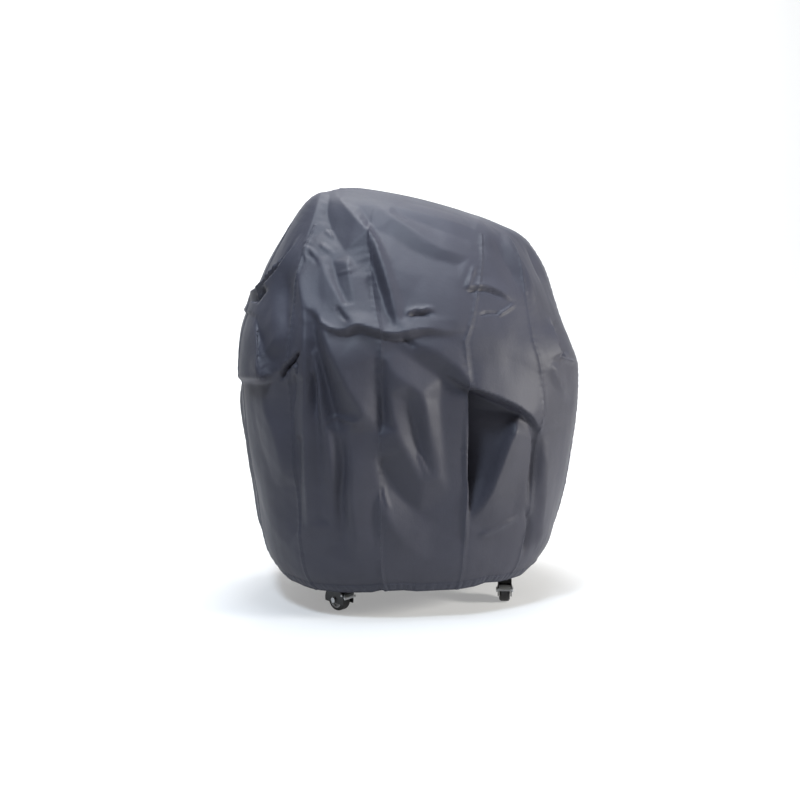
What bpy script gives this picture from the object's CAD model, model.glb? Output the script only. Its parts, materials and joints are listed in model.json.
"""Looks for a fitted fabric grill cover draped over a small barrel grill on swivel casters.

Metres, +Z up, front towards -Y, origin on the floor under the middle of the cover.
"""
import json
import math

import bpy
import numpy as np
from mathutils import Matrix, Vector
from mathutils.geometry import delaunay_2d_cdt


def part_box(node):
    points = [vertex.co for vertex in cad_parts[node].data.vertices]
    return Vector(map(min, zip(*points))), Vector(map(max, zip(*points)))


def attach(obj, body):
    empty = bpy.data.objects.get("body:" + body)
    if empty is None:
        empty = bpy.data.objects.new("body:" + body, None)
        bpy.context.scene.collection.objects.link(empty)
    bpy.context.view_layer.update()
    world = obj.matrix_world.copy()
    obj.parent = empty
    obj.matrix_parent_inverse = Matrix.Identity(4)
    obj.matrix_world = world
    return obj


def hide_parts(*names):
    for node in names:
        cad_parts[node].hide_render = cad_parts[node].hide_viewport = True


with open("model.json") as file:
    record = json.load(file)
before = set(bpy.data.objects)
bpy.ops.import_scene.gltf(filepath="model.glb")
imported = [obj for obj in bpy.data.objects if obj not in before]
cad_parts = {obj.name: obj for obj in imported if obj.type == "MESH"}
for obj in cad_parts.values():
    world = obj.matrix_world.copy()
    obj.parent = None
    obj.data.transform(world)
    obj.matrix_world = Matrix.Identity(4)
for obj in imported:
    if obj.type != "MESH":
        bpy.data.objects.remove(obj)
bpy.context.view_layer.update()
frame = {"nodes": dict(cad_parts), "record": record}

# ---- Camera ----
AZIMUTH = math.radians(-10)  # the camera stands to the left of the front
ELEVATION = math.radians(8.3)
DISTANCE = 3.2
TARGET = Vector((0, 0, 0.55))
LENS = 53.6  # millimetres
SENSOR = 36  # width in millimetres
SHIFT_X = -0.0126  # the object stands a little off the frame's middle
SHIFT_Y = -0.0159


def camera_axes():
    """The camera's right, up and forward directions."""
    away = Vector((
        math.sin(AZIMUTH) * math.cos(ELEVATION),
        -math.cos(AZIMUTH) * math.cos(ELEVATION),
        math.sin(ELEVATION),
    ))
    right = (-away).cross(Vector((0, 0, 1))).normalized()
    return right, right.cross(-away), -away


def aim(name, data, location, direction):
    """Adds a camera or lamp that points in a direction."""
    aimed = bpy.data.objects.new(name, data)
    aimed.location = location
    aimed.rotation_mode = "QUATERNION"
    aimed.rotation_quaternion = direction.to_track_quat("-Z", "Y")
    bpy.context.collection.objects.link(aimed)
    return aimed


def make_camera():
    """The camera, in front of the cover and a little to its left."""
    forward = camera_axes()[2]
    data = bpy.data.cameras.new("camera")
    data.lens = LENS
    data.sensor_width = SENSOR
    data.shift_x = SHIFT_X
    data.shift_y = SHIFT_Y
    bpy.context.scene.camera = aim("camera", data, TARGET - forward * DISTANCE, forward)


make_camera()


def elevation_view(points):
    """Where points show in the front view, in metres: across, and up, at the object's middle."""
    right, up, forward = (np.array(axis) for axis in camera_axes())
    offset = points - np.array(TARGET)
    depth = DISTANCE + offset @ forward
    return (offset @ right) * DISTANCE / depth, TARGET.z + (offset @ up) * DISTANCE / depth


# ---- Materials ----
class Nodes:
    """Short calls for building one material's node tree."""

    def __init__(self, name):
        self.material = bpy.data.materials.new(name)
        self.material.use_nodes = True
        self.tree = self.material.node_tree
        self.shader = self.tree.nodes["Principled BSDF"]
        self.coordinates = self.tree.nodes.new("ShaderNodeTexCoord").outputs["Object"]

    def link(self, value, socket):
        if isinstance(value, bpy.types.NodeSocket):
            self.tree.links.new(value, socket)
        else:
            socket.default_value = value

    def node(self, kind, output, inputs):
        """One of a new node's outputs. inputs are values or sockets, by their names or numbers."""
        node = self.tree.nodes.new("ShaderNode" + kind)
        for key, value in inputs.items():
            self.link(value, node.inputs[key])
        return node.outputs[output]

    def noise(self, scale, detail=4.0, stretch=(1, 1, 1), roughness=0.5):
        place = self.node("Mapping", "Vector", {"Vector": self.coordinates, "Scale": stretch})
        return self.node("TexNoise", "Fac", {
            "Vector": place, "Scale": scale, "Detail": detail, "Roughness": roughness,
        })

    def wave(self, scale, direction):
        bands = self.node("TexWave", "Fac", {"Vector": self.coordinates, "Scale": scale})
        bands.node.bands_direction = direction
        return bands

    def math(self, operation, a, b):
        result = self.node("Math", "Value", {0: a, 1: b})
        result.node.operation = operation
        return result

    def ramp(self, value, low, high, from_value=0.3, to_value=0.7):
        """A colour between low and high as value goes from one stop to the other."""
        colour = self.node("ValToRGB", "Color", {"Fac": value})
        stops = colour.node.color_ramp.elements
        for stop, position, shade in zip(stops, (from_value, to_value), (low, high)):
            stop.position = position
            stop.color = (*shade, 1)
        return colour

    def span(self, value, low, high):
        """value, from 0 to 1, as a number between low and high."""
        return self.node("MapRange", "Result", {"Value": value, "To Min": low, "To Max": high})

    def bump(self, height, strength, distance, normal=None):
        """A normal that height bends, from the surface's own or from another bump's."""
        inputs = {"Height": height, "Strength": strength, "Distance": distance}
        if normal is not None:
            inputs["Normal"] = normal
        return self.node("Bump", "Normal", inputs)

    def finish(self, **inputs):
        """Sets or links the shader's sockets, and returns the material."""
        names = {"base_color": "Base Color", "sheen": "Sheen Weight",
                 "sheen_roughness": "Sheen Roughness", "specular": "Specular IOR Level",
                 "glow": "Emission Strength", "glow_color": "Emission Color"}
        for key, value in inputs.items():
            self.link(value, self.shader.inputs[names.get(key, key.capitalize())])
        return self.material


def cloth_material(name, dark, light, roughness=(0.50, 0.60)):
    """Coated polyester: a matte plain weave with slubs, fine crumples and soft patches of wear."""
    threads, patch_share, weave_share = 160.0, 0.90, 0.10
    m = Nodes(name)
    patches = m.noise(scale=5, detail=5, roughness=0.6)
    weave = m.math("MULTIPLY", m.wave(threads, "X"), m.wave(threads, "Z"))
    tone = m.math("ADD", m.math("MULTIPLY", patches, patch_share),
                  m.math("MULTIPLY", weave, weave_share))
    crumple = m.noise(scale=38, detail=6, roughness=0.62)
    slubs = m.noise(scale=260, detail=3, stretch=(1, 1, 0.15))
    creased = m.bump(crumple, strength=0.35, distance=0.0022)
    return m.finish(
        base_color=m.ramp(tone, dark, light),
        roughness=m.span(patches, *roughness),
        specular=0.30,
        sheen=0.04,
        sheen_roughness=0.5,
        normal=m.bump(slubs, strength=0.20, distance=0.0004, normal=creased),
    )


def enamel_material(name, colour, rough):
    """Stoved enamel or powder coat, with fine orange peel and dull, dusty patches."""
    m = Nodes(name)
    dust = m.noise(scale=9, detail=6, roughness=0.65)
    peel = m.noise(scale=420, detail=2)
    gain, grey = 2.1, 0.012  # what dust does to the colour
    light = tuple(c * gain + grey for c in colour)
    return m.finish(
        base_color=m.ramp(dust, colour, light, 0.45, 0.85),
        roughness=m.span(dust, rough, rough + 0.22),
        normal=m.bump(peel, strength=0.12, distance=0.0004),
    )


def steel_material(name, colour, rough):
    """Zinc-plated or brushed steel with faint brushing and tarnish."""
    m = Nodes(name)
    tarnish = m.noise(scale=26, detail=5, roughness=0.6)
    brushing = m.noise(scale=150, detail=3, stretch=(0.08, 1, 1))
    tarnish_share = 0.62
    dull = tuple(c * tarnish_share for c in colour)
    return m.finish(
        base_color=m.ramp(tarnish, dull, colour, 0.32, 0.62),
        metallic=1.0,
        roughness=m.span(tarnish, rough + 0.12, rough),
        normal=m.bump(brushing, strength=0.10, distance=0.0003),
    )


def rubber_material(name):
    """Black rubber with grey scuffs."""
    m = Nodes(name)
    scuffs = m.noise(scale=55, detail=6, roughness=0.7)
    return m.finish(
        base_color=m.ramp(scuffs, (0.008, 0.008, 0.009), (0.030, 0.030, 0.031), 0.4, 0.8),
        roughness=m.span(scuffs, 0.45, 0.72),
        normal=m.bump(scuffs, strength=0.15, distance=0.0006),
    )


def plastic_material(name, colour):
    """Moulded plastic with a fine grain and faint smears."""
    m = Nodes(name)
    grain = m.noise(scale=300, detail=3)
    smears = m.noise(scale=20, detail=4)
    dark = tuple(c * 0.75 for c in colour)
    return m.finish(
        base_color=m.ramp(smears, dark, colour, 0.3, 0.7),
        roughness=m.span(smears, 0.35, 0.5),
        normal=m.bump(grain, strength=0.1, distance=0.0003),
    )


def wood_material(name):
    """Oiled hardwood slats with grain along Y."""
    m = Nodes(name)
    grain = m.noise(scale=24, detail=6, stretch=(6, 0.6, 6), roughness=0.6)
    pores = m.noise(scale=160, detail=3, stretch=(4, 0.2, 4))
    return m.finish(
        base_color=m.ramp(grain, (0.13, 0.062, 0.028), (0.40, 0.235, 0.115), 0.35, 0.68),
        roughness=m.span(grain, 0.45, 0.62),
        normal=m.bump(pores, strength=0.25, distance=0.0005),
    )


CLOTH = cloth_material("cover_cloth", (0.033, 0.033, 0.045), (0.043, 0.043, 0.059))
CLOTH_BACK = cloth_material("cover_lining", (0.040, 0.041, 0.052), (0.052, 0.054, 0.066))
HEM = cloth_material("hem_fold", (0.029, 0.030, 0.043), (0.038, 0.039, 0.056), (0.52, 0.62))
THREAD = cloth_material("sewing_thread", (0.055, 0.058, 0.078), (0.075, 0.080, 0.104))
ENAMEL = enamel_material("black_enamel", (0.012, 0.012, 0.013), 0.28)
IRON = enamel_material("cast_iron", (0.030, 0.029, 0.028), 0.62)
CASTER_BLACK = enamel_material("caster_enamel", (0.010, 0.010, 0.011), 0.25)
ZINC = steel_material("zinc_plate", (0.60, 0.61, 0.62), 0.30)
RUBBER = rubber_material("tyre_rubber")
PLASTIC = plastic_material("wheel_plastic", (0.42, 0.42, 0.43))
WOOD = wood_material("oiled_wood")

SLOT_MATERIALS = {
    "cover_cloth": CLOTH, "hem_elastic": HEM, "tape": CLOTH_BACK, "enamel": ENAMEL, "iron": IRON,
    "zinc": ZINC, "wood": WOOD, "caster_black": CASTER_BLACK, "wheel_core": PLASTIC, "tyre": RUBBER,
}


def dress_cad_nodes():
    """Gives every CAD node the detailed material of its slot."""
    for part in frame["record"]["subparts"]:
        node = frame["nodes"][part["node"]]
        node.data.materials.clear()
        node.data.materials.append(SLOT_MATERIALS[part["material_slot"]])


dress_cad_nodes()

# ---- The cover's surface ----
GORES = [
    "front_centre_panel", "front_right_panel", "right_front_panel", "right_back_panel",
    "back_right_panel", "back_centre_panel", "back_left_panel", "left_back_panel",
    "left_front_panel", "front_left_panel",
]
PANELS = GORES + ["top_panel"]
PANEL_BOXES = [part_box(name) for name in PANELS]
COVER_LOW = np.min([low for low, high in PANEL_BOXES], axis=0)
COVER_HIGH = np.max([high for low, high in PANEL_BOXES], axis=0)
COVER_W, COVER_D, _ = COVER_HIGH - COVER_LOW
HEM_Z, PEAK_Z = COVER_LOW[2], COVER_HIGH[2]

# The same rings as the CAD cover: [left, left height, right, right height, front, back,
# squareness]. Reaches are shares of half the width or depth, heights of the way to the peak.
RINGS = np.array([
    [0.790, 0.000, 0.715, 0.000, 0.880, 0.880, 2.5],
    [0.880, 0.060, 0.815, 0.060, 0.930, 0.930, 2.5],
    [0.940, 0.234, 0.925, 0.236, 0.970, 0.970, 2.45],
    [0.988, 0.395, 0.980, 0.395, 0.990, 0.990, 2.4],
    [1.000, 0.555, 1.000, 0.517, 1.000, 1.000, 2.3],
    [0.975, 0.655, 0.930, 0.602, 0.975, 0.950, 2.3],
    [0.900, 0.735, 0.850, 0.710, 0.830, 0.870, 2.3],
    [0.800, 0.827, 0.775, 0.800, 0.660, 0.740, 2.3],
    [0.697, 0.900, 0.688, 0.862, 0.480, 0.560, 2.25],
    [0.568, 0.971, 0.586, 0.890, 0.290, 0.320, 2.2],
    [0.410, 1.000, 0.484, 0.910, 0.036, 0.036, 2.1],
])
# Each seam's angle round the cover, with the front at -90, and how far it leans by the top.
SEAMS = [
    (-104, -8), (-82, 20), (-55, 12), (-12, 0), (35, 0),
    (75, 0), (105, 0), (145, 0), (185, 0), (222, -6),
]
# t goes from 0 at the hem to 1 at the ridge, by rings.
TOP_T = 0.8  # where the gores end and the top panel begins
LEAN_T = 0.5  # where a seam starts to lean
WIDEST_T = 0.45  # where a gore's width is measured
FRONT = math.radians(-92)  # the angle of the line by which the rows are spaced
CELL = 0.0048  # size of a mesh cell
GORE_ROWS = 210
TOP_ROWS = 46


def smooth(u):
    """An even rise from 0, where u is 0 or less, to 1, where u is 1 or more."""
    u = np.clip(u, 0, 1)
    return u * u * (3 - 2 * u)


def smooth_curve(a, b, c, d, u):
    """The share u of the way from b to c, on the smooth curve through a, b, c and d."""
    return 0.5 * (2 * b + (c - a) * u + (2 * a - 5 * b + 4 * c - d) * u**2
                  + (3 * b - a - 3 * c + d) * u**3)


def distance_along(points):
    """How far each of a line's points is from the first, along the line."""
    return np.append(0, np.cumsum(np.linalg.norm(np.diff(points, axis=0), axis=1)))


def sines(values, parts):
    """A sum of sine waves, each given by its height, rate and phase."""
    return sum(height * np.sin(rate * values + phase) for height, rate, phase in parts)


def ring(t):
    """The cover's rings at an array of t, each a row of RINGS' seven numbers."""
    last = len(RINGS) - 1
    place = np.clip(t, 0, 1) * last
    i = np.minimum(place.astype(int), last - 1)
    return smooth_curve(RINGS[np.maximum(i - 1, 0)], RINGS[i], RINGS[i + 1],
                        RINGS[np.minimum(i + 2, last)], (place - i)[:, None])


def skin(angle, t):
    """Points of the cover's surface for arrays of angles, in radians, and of t."""
    r = ring(t.ravel()).reshape(*t.shape, 7)
    power = 2 / r[..., 6]
    c, s = np.cos(angle), np.sin(angle)
    left, right = r[..., 0] * COVER_W / 2, r[..., 2] * COVER_W / 2
    x = np.sign(c) * np.abs(c) ** power * np.where(c < 0, left, right)
    y = np.sign(s) * np.abs(s) ** power * np.where(s < 0, r[..., 4], r[..., 5]) * COVER_D / 2
    rise = r[..., 1] + (r[..., 3] - r[..., 1]) * (x + left) / (left + right)
    return np.stack([x, y, HEM_Z + rise * (PEAK_Z - HEM_Z)], axis=-1)


def seam_angles(t):
    """Every seam's angle at t, with the first one again after a full turn."""
    lean = np.clip((t - LEAN_T) / (TOP_T - LEAN_T), 0, 1)
    first, leaning = np.array(SEAMS).T
    angles = first + leaning * lean
    return np.append(angles, angles[0] + 360)


def gore_columns():
    """How many cells wide each gore is: an even number in all, so that the ridge can close."""
    samples = 40
    columns = []
    for start, end in zip(SEAMS, SEAMS[1:] + [(SEAMS[0][0] + 360, 0)]):
        angle = np.radians(np.linspace(start[0], end[0], samples))
        line = skin(angle, np.full(samples, WIDEST_T))
        columns.append(round(distance_along(line)[-1] / CELL))
    columns[GORES.index("back_centre_panel")] += sum(columns) % 2
    return columns


SEAM_COLUMNS = np.append(0, np.cumsum(gore_columns()))
AROUND = int(SEAM_COLUMNS[-1])
# How many cells the first seam stands past the cover's left end, along the ridge.
RIDGE_SHIFT = round(AROUND * (SEAMS[0][0] + SEAMS[0][1] + 180) / 360)


def even_heights(rows, low, high):
    """Values of t that are evenly spaced along the cloth between low and high, at the front."""
    samples = 400
    t = np.linspace(low, high, samples)
    length = distance_along(skin(np.full(samples, FRONT), t))
    return np.interp(np.linspace(0, length[-1], rows + 1), length, t)


def base_grid():
    """The undraped cover as rows of points, from the hem to the ridge along its top."""
    heights = np.append(even_heights(GORE_ROWS, 0, TOP_T), even_heights(TOP_ROWS, TOP_T, 1)[1:])
    columns = np.arange(AROUND)
    even = -180 + 360 * ((columns + RIDGE_SHIFT) / AROUND)
    angles = []
    for t in heights:
        sewn = np.interp(columns, SEAM_COLUMNS, seam_angles(t))
        loosened = np.clip((t - TOP_T) / (1 - TOP_T), 0, 1)
        angles.append(sewn + (even - sewn) * loosened)
    angles = np.radians(np.array(angles))
    return skin(angles, np.broadcast_to(heights[:, None], angles.shape)), angles


GRID, ANGLES = base_grid()
ROWS = len(GRID)


def grid_normals(points):
    """The outward direction at each point of the cover's grid."""
    across = np.roll(points, -1, axis=1) - np.roll(points, 1, axis=1)
    up = np.empty_like(points)
    up[1:-1] = points[2:] - points[:-2]
    up[0] = points[1] - points[0]
    up[-1] = points[-1] - points[-2]
    normals = np.cross(across, up)
    return normals / np.maximum(np.linalg.norm(normals, axis=-1, keepdims=True), 1e-9)


# ---- Folds ----
FOLD_STEP = 0.004  # between the points of a fold's line
FACET_STEP = 0.016  # between the corners of facets along a crease
CREST_POWER = 1.5  # how a sharp crest falls away
POINTS_AT_ONCE = 4000  # keeps the arrays in fold small


def along(path, step):
    """A smooth curve through a path's points, as closely spaced points."""
    path = np.array(path, float)
    ends = np.vstack([2 * path[0] - path[1], path, 2 * path[-1] - path[-2]])
    curve = [path[:1]]
    for a, b, c, d in zip(ends, ends[1:], ends[2:], ends[3:]):
        count = max(2, int(np.linalg.norm(c - b) / step))
        curve.append(smooth_curve(a, b, c, d, (np.arange(1, count + 1) / count)[:, None]))
    return np.vstack(curve)


def within(places, low, high):
    """Which places lie in a box."""
    return np.flatnonzero(np.all((places >= low) & (places <= high), axis=1))


def fold(field, places, height, wide, shape, path):
    """Adds one ridge, or one groove where height is negative, to field.

    places are the points' positions in the front view and path is a line in that view. wide is
    the reach, in millimetres, to the left of or below the path, and to the right of or above it.
    shape is how sharp the top is, from 0 for round to 1, and the shares of the path that fade in
    and out.
    """
    left, right = wide[0] / 1000, wide[1] / 1000
    sharp, fade_in, fade_out = shape
    reach = max(left, right)
    curve = along(path, FOLD_STEP)
    length = distance_along(curve)
    near = within(places, curve.min(axis=0) - reach, curve.max(axis=0) + reach)
    tangent = np.gradient(curve, axis=0)
    for block in np.array_split(near, max(1, len(near) // POINTS_AT_ONCE)):
        offset = places[block][:, None] - curve[None]
        squared = np.einsum("nkc,nkc->nk", offset, offset)
        nearest = squared.argmin(axis=1)
        rows = np.arange(len(block))
        distance = np.sqrt(squared[rows, nearest])
        away = offset[rows, nearest]
        way = tangent[nearest]
        side = way[:, 0] * away[:, 1] - way[:, 1] * away[:, 0]
        gone = np.clip(distance / np.where(side < 0, left, right), 0, 1)
        profile = (1 - sharp) * (1 - smooth(gone)) + sharp * (1 - gone) ** CREST_POWER
        share = (length / length[-1])[nearest]
        field[block] += height * profile * (smooth(share / fade_in) * smooth((1 - share) / fade_out))


def add_folds(field, places, folds, depth=1.0):
    """Adds several folds, each with its height, in millimetres, times depth."""
    for height, wide, shape, path in folds:
        fold(field, places, depth * (height / 1000), wide, shape, path)


def swell(field, places, height, centre, radius):
    """Adds a rounded swelling."""
    across, up = ((places - centre) / radius).T
    field += height * (1 - smooth(np.sqrt(across * across + up * up)))


def facets(places, rim, creases):
    """Heights of the flat facets between creases, inside a rim where the height is 0."""
    level_rim = [(across, up, 0) for across, up in rim + rim[:1]]
    corners, edges = [], []
    for crease in [level_rim] + creases:
        line = along([(across, up, height / 1000) for across, up, height in crease], FACET_STEP)
        edges.extend((len(corners) + i, len(corners) + i + 1) for i in range(len(line) - 1))
        corners.extend(line)
    corners = np.array(corners)
    flat = [Vector(corner[:2]) for corner in corners]
    spots, _, triangles, sources, *_ = delaunay_2d_cdt(flat, edges, [], 0, 1e-5)
    spots = np.array([tuple(spot) for spot in spots])
    levels = np.array([corners[source[0], 2] if source else 0.0 for source in sources])
    total = np.zeros(len(places))
    near = within(places, corners[:, :2].min(axis=0), corners[:, :2].max(axis=0))
    for triangle in triangles:
        a, b, c = spots[list(triangle)]
        inside = near[within(places[near], np.min([a, b, c], axis=0), np.max([a, b, c], axis=0))]
        u, v = np.linalg.solve(np.array([b - a, c - a]).T, (places[inside] - a).T)
        hit = (u >= 0) & (v >= 0) & (u + v <= 1)
        first, second, third = levels[list(triangle)]
        level = first + u * (second - first) + v * (third - first)
        total[inside[hit]] = level[hit]
    return total


# The crumpled cloth over the lid: the line round its flat facets, and the creases between them.
# Points are (metres across, metres up) in the front view, with a height in millimetres.
LID_RIM = [
    (-0.345, 0.98), (-0.35, 0.9), (-0.325, 0.81), (-0.3, 0.735), (-0.255, 0.695), (-0.18, 0.68),
    (-0.1, 0.678), (0.0, 0.68), (0.1, 0.684), (0.165, 0.69), (0.195, 0.74), (0.215, 0.83),
    (0.235, 0.92), (0.245, 1.0), (0.13, 1.06), (-0.03, 1.09), (-0.2, 1.12), (-0.31, 1.08),
]
LID_CREASES = [
    # The crest on the left of the peak, and the bright plateau below it
    [(-0.243, 1.06, 2), (-0.255, 1.01, 8), (-0.272, 0.958, 11), (-0.29, 0.905, 9),
     (-0.3, 0.855, 6)],
    [(-0.262, 0.95, 4), (-0.248, 0.915, 2), (-0.255, 0.885, 4)],
    [(-0.285, 0.87, 7), (-0.28, 0.8, 9), (-0.268, 0.752, 9)],
    # The dark wedge that opens from the peak
    [(-0.217, 1.066, -3), (-0.224, 1.015, -9), (-0.206, 0.968, -10), (-0.166, 0.907, -6),
     (-0.134, 0.872, -7), (-0.112, 0.857, -6)],
    # The main crest, from the peak down to the rim, and the black valley at its foot
    [(-0.2, 1.066, 2), (-0.152, 1.006, 12), (-0.104, 0.95, 18), (-0.085, 0.9, 19),
     (-0.069, 0.85, 18), (-0.052, 0.79, 15), (-0.037, 0.74, 11), (-0.01, 0.702, 6)],
    [(-0.112, 0.93, 0), (-0.104, 0.89, -11), (-0.089, 0.845, -17), (-0.073, 0.795, -15),
     (-0.061, 0.75, -7), (-0.042, 0.712, 1)],
    [(-0.138, 1.034, 1), (-0.108, 0.99, -1), (-0.078, 0.94, 1), (-0.055, 0.89, 3),
     (-0.034, 0.83, 3), (-0.012, 0.77, 2)],
    # The sharp crest that runs down to the left end of the rim, with shade on its right
    [(-0.236, 0.878, 7), (-0.211, 0.826, 10), (-0.186, 0.782, 11), (-0.166, 0.745, 9),
     (-0.146, 0.712, 6)],
    [(-0.222, 0.925, -3), (-0.206, 0.875, -7), (-0.192, 0.82, -3), (-0.172, 0.778, 1)],
    [(-0.168, 0.88, 4), (-0.16, 0.83, 4), (-0.146, 0.775, 4), (-0.12, 0.725, 5)],
    [(-0.13, 0.845, -2), (-0.112, 0.8, -1), (-0.095, 0.75, 1)],
    # Long creases from the top down to the right seam
    [(-0.092, 1.04, 3), (-0.045, 1.002, 9), (0, 0.972, 10), (0.045, 0.942, 9), (0.09, 0.917, 7),
     (0.16, 0.898, 4)],
    [(-0.052, 0.958, -2), (0, 0.925, -3), (0.06, 0.898, -3), (0.13, 0.88, -2)],
    [(-0.03, 1.013, 1), (0.045, 0.985, -2), (0.105, 0.963, -2), (0.17, 0.943, -1)],
    [(-0.05, 1.036, 3), (0.02, 1.017, 5), (0.09, 0.997, 6), (0.15, 0.979, 5), (0.19, 0.962, 3)],
    [(-0.01, 1.048, 0), (0.07, 1.03, -1), (0.15, 1.006, -1)],
    # The big flat facet over the rim, and its lower edge
    [(0.02, 0.85, 2), (0.08, 0.85, 0), (0.135, 0.845, 2)],
    [(-0.02, 0.735, 5), (0.05, 0.728, 6), (0.12, 0.726, 5)],
]
# The pleats that the left shelf and the left end of the lid's rim pull into the skirt.
LEFT_RIM = [
    (-0.3, 0.745), (-0.312, 0.665), (-0.33, 0.58), (-0.38, 0.566), (-0.45, 0.566), (-0.445, 0.45),
    (-0.428, 0.35), (-0.4, 0.25), (-0.35, 0.15), (-0.25, 0.1), (-0.15, 0.085), (-0.1, 0.1),
    (-0.092, 0.3), (-0.092, 0.5), (-0.092, 0.66), (-0.15, 0.69), (-0.225, 0.722), (-0.262, 0.76),
]
LEFT_CREASES = [
    # The dark triangle under the left shelf
    [(-0.432, 0.553, -1), (-0.418, 0.45, -3), (-0.396, 0.36, -3), (-0.362, 0.28, -1)],
    [(-0.405, 0.556, 0), (-0.388, 0.48, 1), (-0.362, 0.41, 2), (-0.342, 0.32, 1)],
    [(-0.32, 0.556, -6), (-0.324, 0.48, -9), (-0.318, 0.4, -8), (-0.312, 0.33, -4)],
    # Pleats under the left end of the rim
    [(-0.298, 0.4, -6), (-0.3, 0.3, -7), (-0.297, 0.19, -3)],
    [(-0.28, 0.72, 4), (-0.275, 0.64, 9), (-0.274, 0.56, 10), (-0.278, 0.46, 8), (-0.277, 0.32, 7),
     (-0.272, 0.18, 3)],
    [(-0.266, 0.68, 0), (-0.26, 0.59, -4), (-0.256, 0.51, -7), (-0.25, 0.45, -2),
     (-0.246, 0.34, -2), (-0.24, 0.2, 0)],
    [(-0.257, 0.64, 5), (-0.243, 0.57, 9), (-0.238, 0.5, 9), (-0.226, 0.44, 7), (-0.212, 0.37, 7),
     (-0.206, 0.29, 5), (-0.206, 0.18, 2)],
    # The dark wedge that hangs from the rim, down to a short crease
    [(-0.262, 0.728, -4), (-0.252, 0.64, -8), (-0.23, 0.545, -13), (-0.21, 0.478, -10)],
    [(-0.236, 0.705, 6), (-0.205, 0.63, 12), (-0.165, 0.55, 14), (-0.125, 0.485, 10)],
    [(-0.194, 0.43, -1), (-0.179, 0.34, -6), (-0.186, 0.25, -6), (-0.18, 0.15, -3)],
    [(-0.17, 0.425, 3), (-0.16, 0.35, 5), (-0.16, 0.26, 7), (-0.148, 0.16, 4)],
]
# The pleats between the two front seams, under the rim.
CENTRE_RIM = [
    (-0.086, 0.672), (-0.03, 0.682), (0.05, 0.688), (0.12, 0.67), (0.154, 0.63), (0.154, 0.56),
    (0.15, 0.4), (0.148, 0.25), (0.14, 0.1), (0.03, 0.085), (-0.08, 0.1), (-0.088, 0.2),
    (-0.089, 0.4), (-0.088, 0.55),
]
CENTRE_CREASES = [
    # The dark band that leads to the overhang on the right
    [(0, 0.676, 2), (0.06, 0.65, 6), (0.108, 0.617, 8), (0.146, 0.588, 8)],
    [(-0.03, 0.652, -3), (0.028, 0.612, -7), (0.088, 0.578, -8), (0.14, 0.545, -6)],
    # The light streak, the shade on its left, and the light facet before that
    [(-0.076, 0.638, 2), (-0.05, 0.596, 10), (-0.006, 0.56, 13), (0.03, 0.528, 14),
     (0.042, 0.48, 14), (0.055, 0.4, 12), (0.073, 0.31, 6)],
    [(-0.002, 0.51, 0), (0.013, 0.455, -6), (0.028, 0.39, -8), (0.045, 0.335, -3)],
    [(-0.064, 0.585, 6), (-0.056, 0.52, 10), (-0.044, 0.455, 12), (-0.014, 0.385, 10),
     (0.033, 0.3, 4)],
    [(-0.078, 0.6, -4), (-0.074, 0.52, -9), (-0.07, 0.45, -11)],
    # The dark triangle, and the light corner under it
    [(-0.082, 0.345, -9), (-0.052, 0.29, -15), (0, 0.23, -15), (0.06, 0.185, -9),
     (0.115, 0.155, -4)],
    [(-0.078, 0.24, 3), (-0.045, 0.175, 5), (-0.01, 0.13, 3)],
    # The part beside the right seam
    [(0.078, 0.51, -6), (0.082, 0.43, -3), (0.092, 0.34, -1), (0.108, 0.25, -4)],
]
# Each net of creases, how deep it is against the heights written above, and how many passes
# round its creases.
FACET_GROUPS = [
    (LID_RIM, LID_CREASES, 0.9, 1),
    (LEFT_RIM, LEFT_CREASES, 2.0, 3),
    (CENTRE_RIM, CENTRE_CREASES, 1.35, 5),
]

# Single folds of the front. Each has its height and (reach left or below, reach right or above)
# in millimetres, (how sharp, share that fades in, share that fades out), and its path in metres.
SHARP = (0.9, 0.25, 0.3)
LID_FOLDS = [
    (4, (12, 14), (0.9, 0.3, 0.5), [(-0.245, 0.935), (-0.228, 0.925), (-0.2, 0.905)]),
    (3, (10, 10), SHARP, [(-0.284, 0.925), (-0.264, 0.915), (-0.247, 0.895)]),
    (-3, (8, 10), SHARP, [(-0.277, 0.905), (-0.26, 0.895), (-0.245, 0.875)]),
    (4, (6, 10), SHARP, [(-0.274, 0.948), (-0.279, 0.915), (-0.276, 0.88)]),
    (4, (12, 8), SHARP, [(-0.232, 0.975), (-0.218, 0.968), (-0.205, 0.952)]),
    (-6, (8, 8), (0.8, 0.3, 0.3), [(-0.2, 0.768), (-0.182, 0.74), (-0.16, 0.718)]),
    (3, (8, 8), SHARP, [(-0.2, 0.855), (-0.18, 0.858), (-0.15, 0.862)]),
    # Creases by the right seam and over the right shoulder
    (7, (10, 10), (0.9, 0.3, 0.1), [(0.172, 0.88), (0.165, 0.85), (0.15, 0.812)]),
    (6, (6, 30), (1, 0.1, 0.3), [(0.15, 0.812), (0.175, 0.82), (0.205, 0.82), (0.24, 0.806),
     (0.262, 0.79), (0.285, 0.776)]),
    (-8, (12, 5), (0.8, 0.1, 0.4), [(0.15, 0.806), (0.18, 0.813), (0.208, 0.812), (0.24, 0.798),
     (0.262, 0.782)]),
    (-10, (40, 26), (0.5, 0.4, 0.4), [(0.215, 0.965), (0.245, 0.915), (0.28, 0.855), (0.31, 0.79)]),
    (10, (26, 40), (0.9, 0.2, 0.5), [(0.24, 0.985), (0.275, 0.92), (0.31, 0.85), (0.34, 0.76),
     (0.35, 0.7)]),
    (-6, (10, 16), (0.8, 0.4, 0.4), [(0.305, 0.945), (0.335, 0.88), (0.362, 0.82)]),
]
# Folds that run out over the left edge of the view: the lid's skirt, folded over at the shoulder.
EDGE_FOLDS = [
    (14, (5, 60), (1, 0.35, 0.05), [(-0.285, 0.965), (-0.312, 0.926), (-0.345, 0.886),
     (-0.386, 0.842), (-0.415, 0.806), (-0.45, 0.762)]),
]
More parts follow.
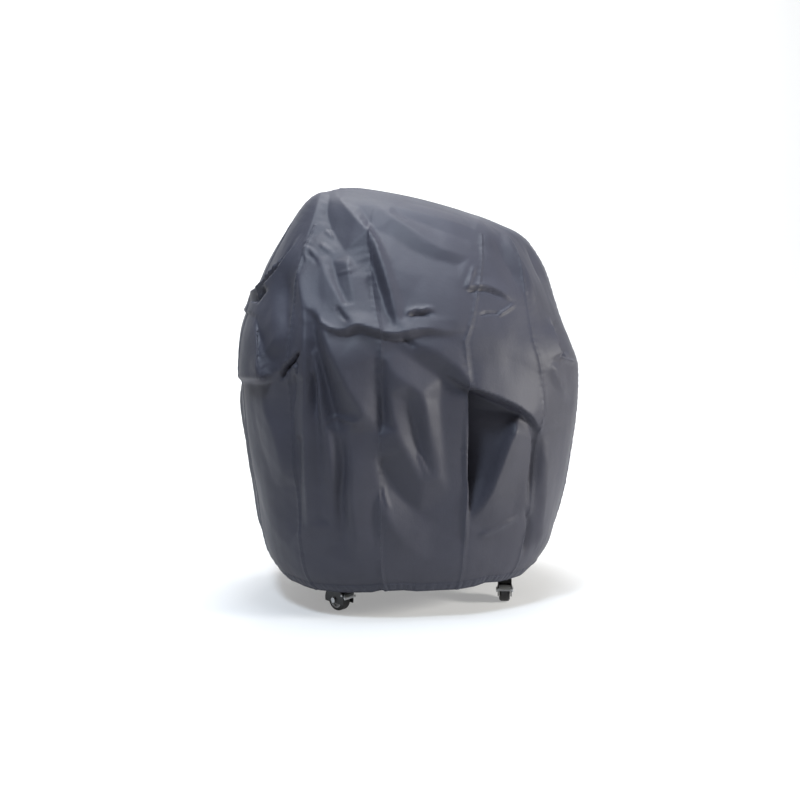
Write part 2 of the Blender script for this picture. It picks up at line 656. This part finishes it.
# The crease under that fold, which widens to a dark pocket just inside the outline.
EDGE_GROOVES = [
    (-34, (8, 3), (0.2, 0.3, 0.3), [(-0.298, 0.943), (-0.32, 0.912), (-0.35, 0.872), (-0.388, 0.83),
     (-0.414, 0.796), (-0.45, 0.748)]),
    (-24, (18, 4), (0.9, 0.1, 0.3), [(-0.418, 0.784), (-0.402, 0.806), (-0.382, 0.83)]),
]
# Cloth that moves as one beside a line: its move along x, y and z, and the rest as for a fold.
PUSHES = [
    # The skirt's edge laps down over the crease
    ((-2, 0, -8), (1, 45), (0.5, 0.4, 0.05), [(-0.298, 0.943), (-0.32, 0.913), (-0.35, 0.875),
     (-0.39, 0.832), (-0.416, 0.798), (-0.45, 0.752)]),
    # The bulge over the left shelf stands forward, most at its lower edge
    ((0, -40, 0), (24, 180), (0.3, 0.02, 0.4), [(-0.48, 0.59), (-0.43, 0.584), (-0.395, 0.582),
     (-0.362, 0.592)]),
]
RIM_FOLDS = [
    # The cloth breaks over the lid's rim
    (14, (8, 45), (0.9, 0.2, 0.3), [(-0.285, 0.768), (-0.252, 0.742), (-0.232, 0.716),
     (-0.205, 0.702), (-0.175, 0.7), (-0.142, 0.711), (-0.1, 0.702), (-0.055, 0.691),
     (-0.02, 0.692), (0.04, 0.702), (0.1, 0.697), (0.16, 0.704)]),
    (-7, (60, 6), (0.6, 0.2, 0.5), [(-0.235, 0.7), (-0.205, 0.69), (-0.175, 0.688), (-0.14, 0.698),
     (-0.1, 0.69), (-0.055, 0.68), (0, 0.682), (0.05, 0.69), (0.1, 0.684)]),
    (8, (4, 14), (0.9, 0.2, 0.3), [(-0.014, 0.742), (0.004, 0.752), (0.018, 0.756), (0.03, 0.752),
     (0.046, 0.757), (0.066, 0.743)]),
    (-12, (10, 5), (0.4, 0.2, 0.3), [(-0.006, 0.741), (0.012, 0.746), (0.03, 0.746), (0.046, 0.747),
     (0.06, 0.741)]),
    (-7, (8, 4), (0.7, 0.3, 0.3), [(0.182, 0.744), (0.204, 0.75), (0.226, 0.752), (0.246, 0.748)]),
    (7, (8, 8), SHARP, [(0.232, 0.742), (0.255, 0.755), (0.285, 0.776)]),
]
LEFT_FOLDS = [
    # The bulge over the left shelf, and the pleats that it pulls
    (10, (26, 190), (0.5, 0.05, 0.5), [(-0.47, 0.588), (-0.43, 0.584), (-0.395, 0.582),
     (-0.36, 0.59), (-0.335, 0.61)]),
    (6, (30, 30), (0.9, 0.4, 0.2), [(-0.345, 0.72), (-0.366, 0.67), (-0.392, 0.63),
     (-0.405, 0.578)]),
    (6, (6, 30), (0.9, 0.2, 0.2), [(-0.352, 0.578), (-0.338, 0.607), (-0.315, 0.628),
     (-0.29, 0.655)]),
    (-18, (9, 5), (0.5, 0.2, 0.2), [(-0.348, 0.568), (-0.336, 0.597), (-0.314, 0.619),
     (-0.291, 0.65)]),
    (-8, (5, 5), (0.5, 0.25, 0.3), [(-0.3, 0.625), (-0.299, 0.605), (-0.3, 0.582)]),
    (6, (8, 8), (0.8, 0.25, 0.3), [(-0.322, 0.6), (-0.309, 0.606), (-0.3, 0.596)]),
    (-6, (8, 8), (0.7, 0.2, 0.5), [(-0.309, 0.59), (-0.314, 0.54), (-0.318, 0.49)]),
    (-8, (14, 6), (0.6, 0.2, 0.4), [(-0.255, 0.595), (-0.251, 0.54), (-0.248, 0.47)]),
    (6, (6, 14), (0.9, 0.2, 0.5), [(-0.212, 0.47), (-0.175, 0.46), (-0.135, 0.457),
     (-0.105, 0.457)]),
    (4, (8, 8), SHARP, [(-0.23, 0.45), (-0.21, 0.468), (-0.2, 0.455)]),
    (-10, (40, 30), (0.3, 0.4, 0.4), [(-0.33, 0.88), (-0.334, 0.8), (-0.335, 0.72),
     (-0.325, 0.66)]),
    (10, (30, 50), (0.9, 0.4, 0.4), [(-0.296, 0.9), (-0.292, 0.83), (-0.284, 0.76), (-0.28, 0.7)]),
]
CENTRE_FOLDS = [
    (5, (8, 6), (0.9, 0.3, 0.2), [(0.15, 0.5), (0.15, 0.38), (0.151, 0.25), (0.149, 0.1)]),
    (5, (10, 12), SHARP, [(0.022, 0.38), (0.034, 0.345), (0.048, 0.305)]),
    (4, (8, 10), SHARP, [(-0.074, 0.29), (-0.066, 0.25), (-0.052, 0.215)]),
    (-5, (14, 10), (0.5, 0.25, 0.3), [(-0.03, 0.695), (-0.008, 0.678), (0.02, 0.655)]),
]
RIGHT_FOLDS = [
    # The overhang of the cloth held out by the right shelf
    (26, (6, 110), (0.5, 0.35, 0.25), [(0.08, 0.592), (0.12, 0.572), (0.16, 0.55), (0.21, 0.532),
     (0.265, 0.508), (0.308, 0.478), (0.338, 0.445), (0.356, 0.415)]),
    # The dark slits and creases beside the cone of cloth below it
    (22, (12, 85), (0.5, 0.15, 0.35), [(0.29, 0.474), (0.262, 0.41), (0.233, 0.33), (0.2, 0.25),
     (0.165, 0.18)]),
    (-16, (10, 26), (0.7, 0.3, 0.4), [(0.312, 0.475), (0.328, 0.43), (0.332, 0.37), (0.322, 0.29),
     (0.314, 0.22)]),
    (-12, (8, 14), (0.8, 0.3, 0.3), [(0.306, 0.23), (0.316, 0.19), (0.312, 0.14), (0.3, 0.09)]),
    (7, (20, 8), SHARP, [(0.175, 0.15), (0.225, 0.17), (0.295, 0.205)]),
    (12, (22, 60), (0.5, 0.3, 0.2), [(0.365, 0.44), (0.36, 0.33), (0.35, 0.22), (0.338, 0.1)]),
    # The tip of the right shelf
    (12, (30, 6), (0.9, 0.5, 0.1), [(0.372, 0.745), (0.38, 0.7), (0.388, 0.655), (0.398, 0.628)]),
    (-14, (6, 30), (0.8, 0.5, 0.1), [(0.384, 0.735), (0.39, 0.69), (0.398, 0.65), (0.408, 0.63)]),
    (8, (14, 8), SHARP, [(0.395, 0.625), (0.42, 0.622), (0.445, 0.615)]),
    (8, (20, 30), (0.9, 0.2, 0.4), [(0.37, 0.62), (0.392, 0.57), (0.425, 0.505)]),
]
# The hollow under the overhang, in metres in the front view: the seam at its left, its top edge,
# the ridge of the cone at its right, and how far from each of them it is fully deep.
SEAM_ACROSS = 0.157  # where the seam at its left shows
HOLLOW_DEPTH = 0.078
HOLLOW_TOP = [(0.145, 0.558), (0.16, 0.55), (0.21, 0.532), (0.265, 0.508), (0.3, 0.484),
              (0.32, 0.465)]
CONE_RIDGE = [(0.145, 0.17), (0.172, 0.215), (0.214, 0.3), (0.246, 0.385), (0.277, 0.45),
              (0.3, 0.48)]
UNDER_TOP = 0.016
BESIDE_SEAM = 0.10  # as a share of the way from the seam to the ridge
NARROW = 0.09  # where it is less wide than this it is less deep
CONE_POWER = 0.75  # how the cone's side falls away from its ridge


def hollow(field, places):
    """The hollow under the right shelf: deepest at the seam, rising to the ridge of a cone."""
    across, up = places.T
    top_across, top_up = np.array(HOLLOW_TOP).T
    ridge_across, ridge_up = np.array(CONE_RIDGE).T
    under = smooth((np.interp(across, top_across, top_up) - up) / UNDER_TOP)
    span = np.maximum(np.interp(up, ridge_up, ridge_across) - SEAM_ACROSS, 1e-4)
    share = (across - SEAM_ACROSS) / span
    inside = (share > 0) & (share < 1) & (up > ridge_up[0]) & (up < top_up[0])
    slope = (1 - np.clip(share, 0, 1)) ** CONE_POWER
    depth = smooth(share / BESIDE_SEAM) * slope * smooth(span / NARROW)
    field -= np.where(inside, HOLLOW_DEPTH * depth * under, 0)


# Each group of folds, and how deep it is against the heights written above.
FOLD_GROUPS = [
    (LID_FOLDS, 1.0), (RIM_FOLDS, 1.0), (LEFT_FOLDS, 1.2), (CENTRE_FOLDS, 1.3), (RIGHT_FOLDS, 1.0),
]
# The cloth swells out over the right shelf: height, middle in the front view, and reach.
SHELF_SWELL = (0.010, (0.36, 0.62), (0.10, 0.14))


def soften(field, passes):
    """Rounds a field's creases by averaging each point with its neighbours."""
    grid = field.reshape(ROWS, AROUND)
    for _ in range(passes):
        above = np.vstack([grid[1:], grid[-1:]])
        below = np.vstack([grid[:1], grid[:-1]])
        beside = np.roll(grid, 1, axis=1)
        grid = (4 * grid + above + below + beside + np.roll(grid, -1, axis=1)) / 8
    return grid.ravel()


def front_field(places):
    """How far the folds move each point of the front out along its normal."""
    field = np.zeros(len(places))
    for rim, creases, depth, passes in FACET_GROUPS:
        field += soften(facets(places, rim, creases), passes) * depth
    for folds, depth in FOLD_GROUPS:
        add_folds(field, places, folds, depth)
    hollow(field, places)
    swell(field, places, *SHELF_SWELL)
    return field


PEAK_X = -0.19  # the peak, and how far the ridge runs from it to the right
RIDGE_RUN = 0.41
ARCH = 0.013  # how much higher the ridge stands halfway
PEAK_DROP = 0.007  # how much lower the peak is than its corner, and how far round
PEAK_ROUND = 0.035
ARCH_START = 0.72  # as a share of the rows


def round_ridge(cover):
    """Arches the ridge between the peak and the right shoulder, and rounds the peak off."""
    from_peak = cover[..., 0] - PEAK_X
    heights = np.linspace(0, 1, ROWS)[:, None]
    near_top = smooth((heights - ARCH_START) / (1 - ARCH_START))
    arch = ARCH * np.sin(math.pi * np.clip(from_peak / RIDGE_RUN, 0, 1))
    rounding = PEAK_DROP * np.exp(-(from_peak / PEAK_ROUND) ** 2)
    cover[..., 2] += near_top * (arch - rounding)


WAVES = [(0.0038, 0.16), (0.0007, 0.06)]  # the height and length of the soft waves all over
WAVE_SEED = 7
DIRECTIONS = 7  # how many sines make up one set of waves


def waves(places, length, rng):
    """Soft waves all over: a sum of sines of about a given length, in every direction."""
    total = np.zeros(len(places))
    for _ in range(DIRECTIONS):
        turn, phase = rng.uniform(0, 2 * math.pi, 2)
        number = 2 * math.pi / (length * rng.uniform(0.7, 1.5))
        total += np.sin(number * (places @ np.array([math.cos(turn), math.sin(turn)])) + phase)
    return total / DIRECTIONS


# Folds of the sides and the back, written as those above, but with paths in degrees round the
# cover, 0 on the right and 90 at the back, and metres over the floor.
BACK_FOLDS = [
    # Pleats that hang from the tips of the two shelves
    (7, (30, 30), (0.7, 0.2, 0.2), [(-14, 0.6), (-13, 0.45), (-12, 0.3), (-12, 0.12)]),
    (-7, (30, 26), (0.6, 0.3, 0.2), [(-6, 0.58), (-4, 0.44), (-4, 0.28), (-5, 0.1)]),
    (12, (30, 30), (0.8, 0.2, 0.2), [(4, 0.6), (6, 0.45), (8, 0.28), (9, 0.1)]),
    (-14, (30, 40), (0.5, 0.3, 0.3), [(15, 0.6), (18, 0.46), (20, 0.3), (21, 0.14)]),
    (16, (40, 35), (0.8, 0.3, 0.2), [(27, 0.66), (30, 0.5), (32, 0.34), (32, 0.1)]),
    (16, (30, 40), (0.8, 0.3, 0.2), [(150, 0.66), (147, 0.5), (146, 0.34), (147, 0.1)]),
    (-15, (40, 30), (0.5, 0.3, 0.3), [(158, 0.6), (157, 0.46), (156, 0.3), (157, 0.12)]),
    (12, (30, 30), (0.8, 0.2, 0.2), [(168, 0.6), (169, 0.45), (170, 0.28), (170, 0.1)]),
    (-8, (28, 30), (0.6, 0.3, 0.2), [(178, 0.58), (179, 0.44), (178, 0.28), (178, 0.1)]),
    (6, (30, 30), (0.7, 0.2, 0.3), [(188, 0.6), (190, 0.44), (191, 0.26), (190, 0.1)]),
    # Where the cloth breaks over the barrel and the shelves at the back
    (10, (20, 60), (0.7, 0.35, 0.4), [(24, 0.735), (42, 0.702), (58, 0.7), (74, 0.716),
     (88, 0.742)]),
    (11, (18, 70), (0.7, 0.35, 0.35), [(72, 0.672), (92, 0.688), (112, 0.684), (132, 0.702),
     (150, 0.736)]),
    (-9, (60, 20), (0.3, 0.4, 0.4), [(80, 0.655), (100, 0.668), (118, 0.664), (138, 0.682)]),
    # Tension folds from the smokestack and the right shoulder down the back
    (14, (40, 50), (0.9, 0.2, 0.4), [(118, 1), (112, 0.92), (104, 0.82), (98, 0.72)]),
    (12, (50, 35), (0.9, 0.2, 0.3), [(130, 1), (131, 0.9), (128, 0.8), (122, 0.71)]),
    (-10, (40, 30), (0.6, 0.3, 0.4), [(124, 0.96), (120, 0.86), (113, 0.76)]),
    (12, (35, 45), (0.9, 0.2, 0.4), [(146, 0.98), (152, 0.88), (156, 0.78), (160, 0.66)]),
    (12, (40, 35), (0.8, 0.3, 0.3), [(60, 0.94), (66, 0.86), (70, 0.77), (70, 0.7)]),
    (-10, (40, 30), (0.5, 0.4, 0.4), [(78, 0.95), (82, 0.86), (84, 0.76)]),
    (13, (40, 40), (0.9, 0.3, 0.4), [(34, 0.93), (30, 0.84), (26, 0.74), (24, 0.64)]),
    (10, (30, 30), (0.9, 0.3, 0.3), [(4, 0.9), (2, 0.8), (0, 0.7), (-3, 0.62)]),
    (-10, (30, 30), (0.6, 0.3, 0.3), [(14, 0.9), (12, 0.8), (9, 0.7), (6, 0.63)]),
    # Long soft folds down the back panels
    (13, (50, 30), (0.7, 0.3, 0.2), [(58, 0.64), (56, 0.48), (58, 0.32), (60, 0.12)]),
    (-14, (50, 40), (0.4, 0.4, 0.3), [(68, 0.6), (68, 0.44), (70, 0.28), (70, 0.14)]),
    (14, (40, 50), (0.8, 0.3, 0.2), [(88, 0.66), (84, 0.5), (83, 0.34), (84, 0.12)]),
    (-12, (40, 40), (0.4, 0.4, 0.3), [(97, 0.6), (96, 0.44), (94, 0.28), (95, 0.12)]),
    (14, (40, 40), (0.8, 0.3, 0.2), [(112, 0.66), (110, 0.5), (106, 0.34), (106, 0.12)]),
    (-12, (40, 40), (0.4, 0.4, 0.3), [(126, 0.62), (122, 0.46), (120, 0.3), (121, 0.12)]),
]
TURN_REACH = 0.40  # metres round the cover for each radian, for these folds


def back_field(angles, z):
    """How far BACK_FOLDS move each point out."""
    places = np.stack([TURN_REACH * np.mod(angles + math.pi / 2, 2 * math.pi), z], axis=1)
    field = np.zeros(len(places))
    for height, (below, above), shape, path in BACK_FOLDS:
        line = [(TURN_REACH * (math.radians(degrees) + math.pi / 2), up) for degrees, up in path]
        fold(field, places, height / 1000, (above, below), shape, line)
    return field


# How far the hem hangs above or below its plain height, from left to right in the front view.
HEM_LINE = [
    (-0.4, 0), (-0.35, -0.008), (-0.269, -0.011), (-0.224, -0.009), (-0.179, -0.008),
    (-0.103, -0.004), (-0.076, 0.002), (-0.018, 0.001), (0.018, -0.004), (0.072, -0.004),
    (0.116, -0.003), (0.17, 0), (0.201, 0.005), (0.242, 0), (0.304, 0),
]
BACK_HEM_WAVES = [(0.004, 9, 1), (0.003, 17, 0)]  # height, how many go round, phase


def hem_shift(across, angles, facing):
    """How far the hem moves up: by HEM_LINE at the front, and in waves at the back."""
    front = np.interp(across, *np.array(HEM_LINE).T)
    return front * facing + sines(angles, BACK_HEM_WAVES) * (1 - facing)


# Across a seam: columns from it, how far its lapped edge stands out, and how much it puckers.
SEAM_PROFILE = [
    (-2, 0.0, 0.3), (-1, 0.0004, 0.6), (0, 0.0016, 0.6), (1, 0.0012, 0.6), (2, -0.0004, 0.4),
    (3, 0.0, 0.2),
]
SEAM_PUCKER = 0.0006


def seam_relief():
    """The raised edge of each lapped seam, and the puckers that its stitching pulls beside it."""
    relief = np.zeros((ROWS, AROUND))
    rows = np.arange(ROWS)
    sewn = np.where(rows <= GORE_ROWS, 1.0, 0.0)
    for number, column in enumerate(SEAM_COLUMNS[:-1]):
        pucker = sines(rows, [(1, 1.55, number), (0.6, 0.83, 2 * number)])
        for away, step, pull in SEAM_PROFILE:
            relief[:, (column + away) % AROUND] += sewn * (step + SEAM_PUCKER * pull * pucker)
    return relief


# Where folds fade in as the cloth turns towards the view: the cosine of the angle at which they
# start, and how much further they take.
ON_FRONT = (-0.05, 0.25)
ROUND_EDGE = (-0.14, 0.2)
INSIDE_EDGE = (0.03, 0.12)
CALM_ROWS = 7  # rows below the ridge over which the folds die out
CALM_TOP = 0.04  # metres below the peak where the waves start
CALM_REACH = 0.10  # metres over which they grow
HEM_REACH = 0.12  # metres over which the hem's shape fades upwards


def build_cover():
    """The draped cover: the plain surface with its folds, soft waves and seams."""
    cover = GRID.copy()
    round_ridge(cover)
    flat = cover.reshape(-1, 3)
    normals = grid_normals(cover).reshape(-1, 3)
    angles = ANGLES.ravel()
    across, up = elevation_view(flat)
    places = np.stack([across, up], axis=1)
    to_view = -(normals @ np.array(camera_axes()[2]))
    facing, rounded, inside_edge = (
        smooth((to_view - start) / more) for start, more in (ON_FRONT, ROUND_EDGE, INSIDE_EDGE)
    )
    calm = np.repeat(smooth((ROWS - 1 - np.arange(ROWS)) / CALM_ROWS), AROUND)

    field = front_field(places) * facing * calm
    for folds, share in ((EDGE_FOLDS, rounded), (EDGE_GROOVES, inside_edge)):
        edge = np.zeros(len(places))
        add_folds(edge, places, folds)
        field += edge * share
    field += back_field(angles, flat[:, 2]) * (1 - facing) * calm
    rng = np.random.default_rng(WAVE_SEED)
    unrolled = np.stack([TURN_REACH * angles, flat[:, 2]], axis=1)
    below_ridge = smooth((PEAK_Z - CALM_TOP - flat[:, 2]) / CALM_REACH)
    field += sum(height * waves(unrolled, length, rng) for height, length in WAVES) * below_ridge

    near_hem = smooth((HEM_Z + HEM_REACH - flat[:, 2]) / HEM_REACH)
    flat[:, 2] += near_hem * hem_shift(across, angles, facing)
    flat += normals * field[:, None]
    for move, wide, shape, line in PUSHES:
        share = np.zeros(len(places))
        fold(share, places, 1.0, wide, shape, line)
        flat += (share * rounded)[:, None] * (np.array(move) / 1000)
    flat += normals * seam_relief().ravel()[:, None]
    return cover


COVER = build_cover()


# ---- Panels ----
def mesh_piece(name, verts, faces, material):
    """A smooth-shaded mesh object with one material."""
    mesh = bpy.data.meshes.new(name)
    mesh.from_pydata([tuple(v) for v in verts], [], faces)
    mesh.materials.append(material)
    mesh.polygons.foreach_set("use_smooth", [True] * len(mesh.polygons))
    mesh.update()
    piece = bpy.data.objects.new(name, mesh)
    bpy.context.collection.objects.link(piece)
    return piece


def quads(rows, columns, closed=False, first=0):
    """Faces of a grid of points, in rows, where closed joins each row's end to its start."""
    return [
        (first + j * columns + k, first + j * columns + (k + 1) % columns,
         first + (j + 1) * columns + (k + 1) % columns, first + (j + 1) * columns + k)
        for j in range(rows - 1)
        for k in range(columns if closed else columns - 1)
    ]


def grid_piece(name, points, material, closed=False):
    """A sheet, or a closed band, from rows of points."""
    faces = quads(*points.shape[:2], closed)
    return mesh_piece(name, points.reshape(-1, 3), faces, material)


def longest(rows):
    """The length of the longest of several rows of points."""
    return float(np.linalg.norm(np.diff(rows, axis=1), axis=2).sum(axis=1).max())


def declare(piece, flat):
    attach(piece, "cover")


def make_gores():
    """The ten gores, from seam to seam and from the hem to the top panel."""
    for i, name in enumerate(GORES):
        columns = np.arange(SEAM_COLUMNS[i], SEAM_COLUMNS[i + 1] + 1) % AROUND
        points = COVER[:GORE_ROWS + 1][:, columns]
        piece = grid_piece(name + "_cloth", points, CLOTH)
        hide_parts(name)
        declare(piece, (longest(points), longest(points.transpose(1, 0, 2))))


def make_top_panel(with_pieces):
    """The top panel: rings of cloth that close along the ridge."""
    rows = COVER[GORE_ROWS:]
    half = AROUND // 2
    last = (len(rows) - 1) * AROUND

    def place(step):
        return last + (step - RIDGE_SHIFT) % AROUND

    faces = quads(len(rows), AROUND, closed=True)
    faces.append((place(0), place(1), place(-1)))
    for step in range(1, half - 1):
        faces.append((place(step), place(step + 1), place(-step - 1), place(-step)))
    faces.append((place(half - 1), place(half), place(half + 1)))
    piece = mesh_piece("top_panel_cloth", rows.reshape(-1, 3), faces, CLOTH)
    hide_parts("top_panel")
    declare(piece, (0.72, 0.44))


# ---- Hem, tapes and stitching ----
COVER_NORMALS = grid_normals(COVER)
HEM_ROWS = 5  # rows of cells from the hem's edge to its upper stitching
HEM_PUCKERS = [(0.0007, 1.9, 0), (0.0006, 1.17, 1)]  # height, rate for each column, phase
HEM_OUT = 0.0004  # how far the hem stands off the cloth, and swells beyond that
HEM_SWELL = 0.0016
HEM_LIP = 0.02  # how much of the swelling's curve its lower edge leaves out
HEM_INSIDE = 0.0022  # how far inside the cloth it is folded up
HEM_TURN = [(0.0012, 0.0016), (-0.0006, 0.0024), (-0.0018, 0.0014)]  # round the edge: out, down
TAPE_CELLS = 2  # half a seam tape's width, in cells
TAPE_START = 4  # the row where the tapes start
TAPE_INSIDE = 0.0014


def make_hem():
    """The hem: cloth folded up round the elastic, with the small puckers that it pulls."""
    rows = np.arange(HEM_ROWS, -1, -1)
    pucker = sines(np.arange(AROUND), HEM_PUCKERS)
    outside = []
    for row in rows:
        share = row / HEM_ROWS
        out = HEM_OUT + HEM_SWELL * math.sin(math.pi * min(1.0, share + HEM_LIP)) ** 0.5
        swelling = pucker * math.sin(math.pi * share) ** 0.5
        outside.append(COVER[row] + COVER_NORMALS[row] * (out + swelling)[:, None])
    inside = [COVER[row] - COVER_NORMALS[row] * HEM_INSIDE for row in rows[::-1]]
    turn = [COVER[0] + COVER_NORMALS[0] * out - [0, 0, down] for out, down in HEM_TURN]
    hem = grid_piece("hem_fold_cloth", np.array(outside + turn + inside), HEM, closed=True)
    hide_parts("hem_band")
    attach(hem, "cover")


def make_tapes():
    """The tape that binds each seam on the inside of the cloth."""
    verts, faces = [], []
    for column in SEAM_COLUMNS[:-1]:
        columns = np.arange(column - TAPE_CELLS, column + TAPE_CELLS + 1) % AROUND
        rows = slice(TAPE_START, GORE_ROWS - 1)
        strip = COVER[rows][:, columns] - COVER_NORMALS[rows][:, columns] * TAPE_INSIDE
        faces.extend(quads(*strip.shape[:2], first=len(verts)))
        verts.extend(strip.reshape(-1, 3))
    tapes = mesh_piece("seam_tapes_cloth", verts, faces, CLOTH_BACK)
    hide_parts("seam_tapes")
    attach(tapes, "cover")
    return tapes


STITCH_PITCH = 0.0046
STITCH_SIZE = (0.0016, 0.0004, 0.0005)  # half a stitch's length, width and height
SEAM_STITCHING = (0.35, 1.15)  # how many cells beside a seam each of its rows is
STITCH_OUT = 0.0002  # how far they stand off the cloth
HEM_STITCHING = [(HEM_ROWS - 1, 0.0016), (1, 0.0019)]  # the hem's rows, and how far they are out


def resample(points, normals, pitch):
    """Places a pitch apart along a line of points, each with its direction and its normal."""
    length = distance_along(points)
    at = np.arange(pitch, length[-1] - pitch, pitch)
    place, normal = (
        np.stack([np.interp(at, length, values[:, axis]) for axis in range(3)], axis=1)
        for values in (points, normals)
    )
    way = np.gradient(place, axis=0)
    return place, way / np.linalg.norm(way, axis=1, keepdims=True), normal


def add_stitches(verts, faces, points, normals):
    """Adds a row of stitches, each a small pointed bead, along a line."""
    long, wide, high = STITCH_SIZE
    for place, way, normal in zip(*resample(points, normals, STITCH_PITCH)):
        side = np.cross(way, normal)
        base = len(verts)
        verts.extend([
            place - way * long, place + side * wide, place + way * long, place - side * wide,
            place + normal * high, place - normal * high,
        ])
        for k in range(4):
            faces.append((base + k, base + (k + 1) % 4, base + 4))
            faces.append((base + (k + 1) % 4, base + k, base + 5))


def make_stitching():
    """Two rows of stitches beside every seam, and two round the hem."""
    verts, faces = [], []
    rows = slice(HEM_ROWS, GORE_ROWS)
    for column in SEAM_COLUMNS[:-1]:
        for cells in SEAM_STITCHING:
            near = (column + int(cells)) % AROUND
            far = (near + 1) % AROUND
            part = cells - int(cells)
            line = COVER[rows, near] * (1 - part) + COVER[rows, far] * part
            normals = COVER_NORMALS[rows, near]
            add_stitches(verts, faces, line + normals * STITCH_OUT, normals)
    for row, out in HEM_STITCHING:
        line = COVER[row] + COVER_NORMALS[row] * out
        add_stitches(verts, faces, line, COVER_NORMALS[row])
    stitching = mesh_piece("seam_stitching", verts, faces, THREAD)
    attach(stitching, "cover")
    return stitching


make_top_panel([make_tapes(), make_stitching()])
make_gores()
make_hem()


# ---- Stage ----
def clear_from_behind(m):
    """Makes a material clear on the back of its faces, so a view from behind looks through it."""
    back = m.node("NewGeometry", "Backfacing", {})
    clear = m.node("BsdfTransparent", "BSDF", {})
    mixed = m.node("MixShader", "Shader", {"Fac": back, 1: m.shader.outputs["BSDF"], 2: clear})
    m.link(mixed, m.tree.nodes["Material Output"].inputs["Surface"])


STAGE_HALF = 6.0  # half the floor's width, and how far it runs to the front
BACKDROP_Y = 3.0
BACKDROP_HIGH = 4.0
CORNER = 1.2  # radius of the curve from the floor to the backdrop
CORNER_STEPS = 12


def make_stage():
    """A plain white floor that curves up into a backdrop, and more floor behind that."""
    bend_y = BACKDROP_Y - CORNER
    profile = [(-STAGE_HALF, 0), (bend_y, 0)]
    for step in range(1, CORNER_STEPS + 1):
        turn = math.pi / 2 * step / CORNER_STEPS
        profile.append((bend_y + CORNER * math.sin(turn), CORNER - CORNER * math.cos(turn)))
    profile.append((BACKDROP_Y, BACKDROP_HIGH))
    sides = (-STAGE_HALF, STAGE_HALF)
    rows = np.array([[(x, y, z) for x in sides] for y, z in profile])
    behind = np.array([[(x, y, 0) for x in sides] for y in (bend_y, STAGE_HALF)])
    m = Nodes("white_paper")
    m.finish(base_color=(0.58, 0.58, 0.58, 1), roughness=0.9, glow=0.3, glow_color=(1, 1, 1, 1))
    clear_from_behind(m)
    grid_piece("floor", rows, m.material)
    grid_piece("floor_behind", behind, m.material)


def area_light(name, location, target, size, power, colour=(1, 1, 1)):
    """A round lamp that points at a target."""
    data = bpy.data.lights.new(name, "AREA")
    data.shape = "DISK"
    data.size = size
    data.energy = power
    data.color = colour
    aim(name, data, location, Vector(target) - Vector(location))


def light_scene():
    """Cool soft light from above and the upper left, warmer light from the right."""
    world = bpy.data.worlds.new("studio")
    world.use_nodes = True
    background = world.node_tree.nodes["Background"]
    background.inputs["Color"].default_value = (1.0, 0.96, 0.90, 1)
    background.inputs["Strength"].default_value = 0.12
    bpy.context.scene.world = world
    bpy.context.scene.view_settings.view_transform = "Standard"
    area_light("overhead", location=(0.1, -0.4, 3.4), target=(0, 0, 0.5), size=1.5, power=68,
               colour=(0.82, 0.90, 1.0))
    area_light("right", location=(2.7, -1.4, 1.15), target=(0, 0, 0.5), size=0.7, power=100,
               colour=(1.0, 0.98, 0.93))
    area_light("upper_left", location=(-1.1, -1.6, 3.2), target=(-0.2, 0, 0.8), size=0.7, power=76,
               colour=(0.74, 0.86, 1.0))
    area_light("backdrop", location=(0, 1.0, 3.4), target=(0, 3.0, 1.2), size=1.5, power=120)


make_stage()
light_scene()
